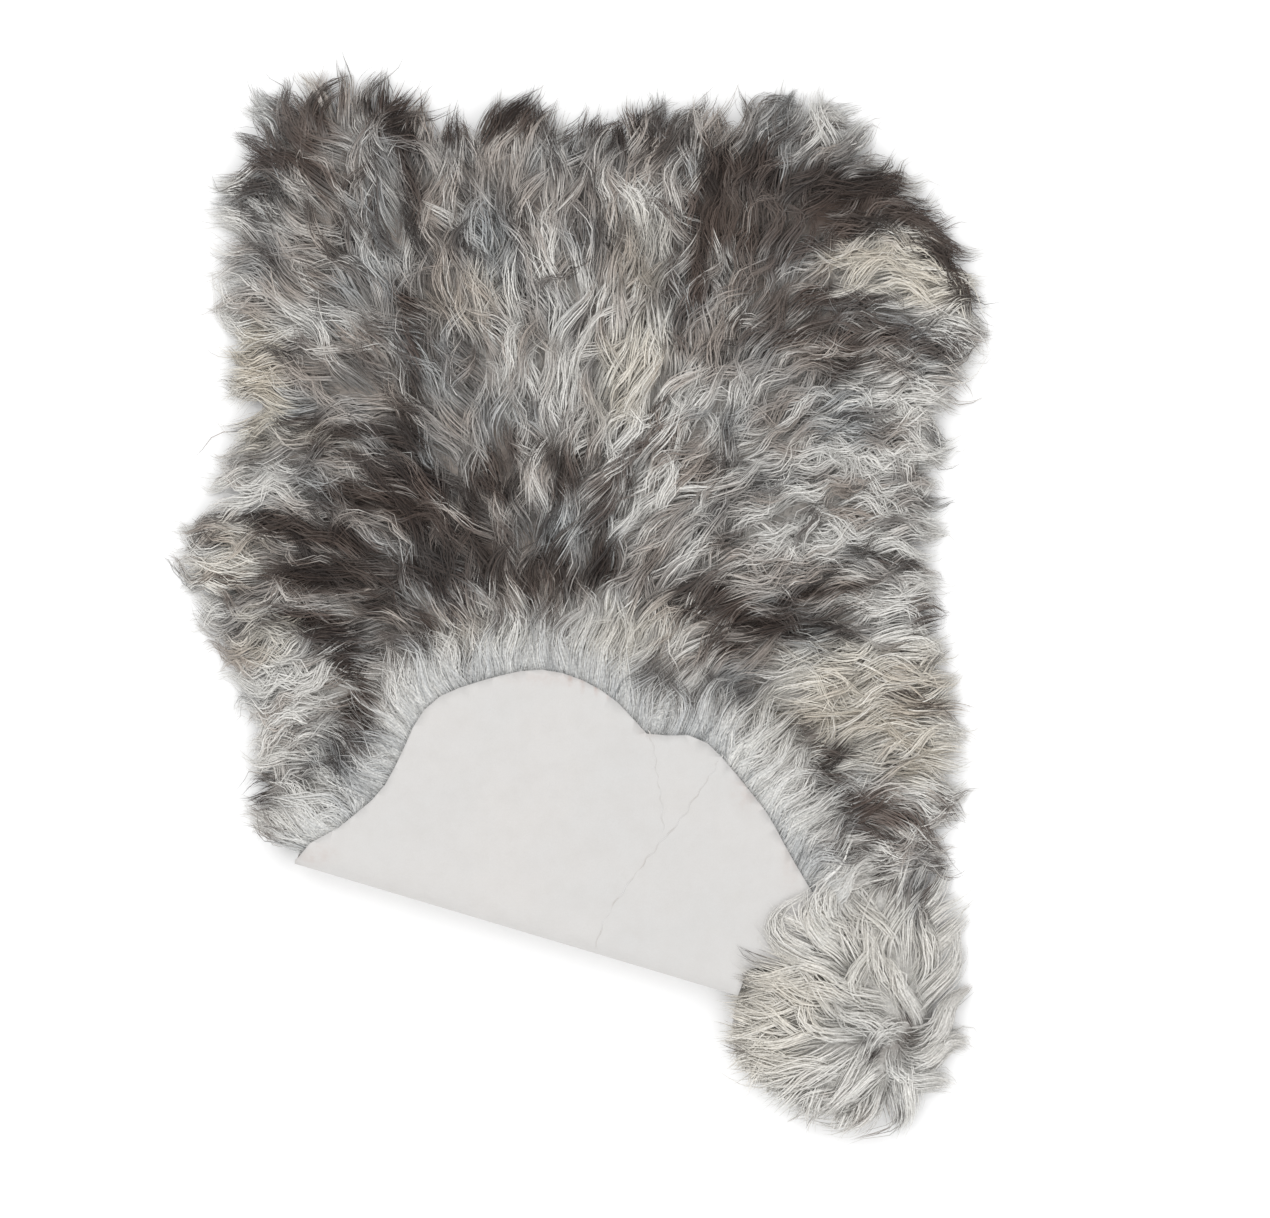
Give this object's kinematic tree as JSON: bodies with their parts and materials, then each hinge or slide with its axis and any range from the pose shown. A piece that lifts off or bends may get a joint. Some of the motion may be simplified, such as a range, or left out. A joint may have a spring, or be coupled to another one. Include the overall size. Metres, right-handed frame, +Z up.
{
  "type": "sheepskin rug",
  "caption": "Long-haired sheepskin rug lying wool side up, with its lower edge turned up over the wool to show the pale skin side",
  "frame": {"origin": "on the floor, under the middle of the rug's bounding box", "axes": "X across the pelt, +Y towards the neck end, +Z up from the floor"},
  "size_m": [0.784, 1.0232, 0.063],
  "materials": {
    "leather": "matt suede skin side",
    "wool": "soft long wool"
  },
  "bodies": {
    "root": {"hide": "leather", "fleece": "wool"}
  },
  "joints": []
}
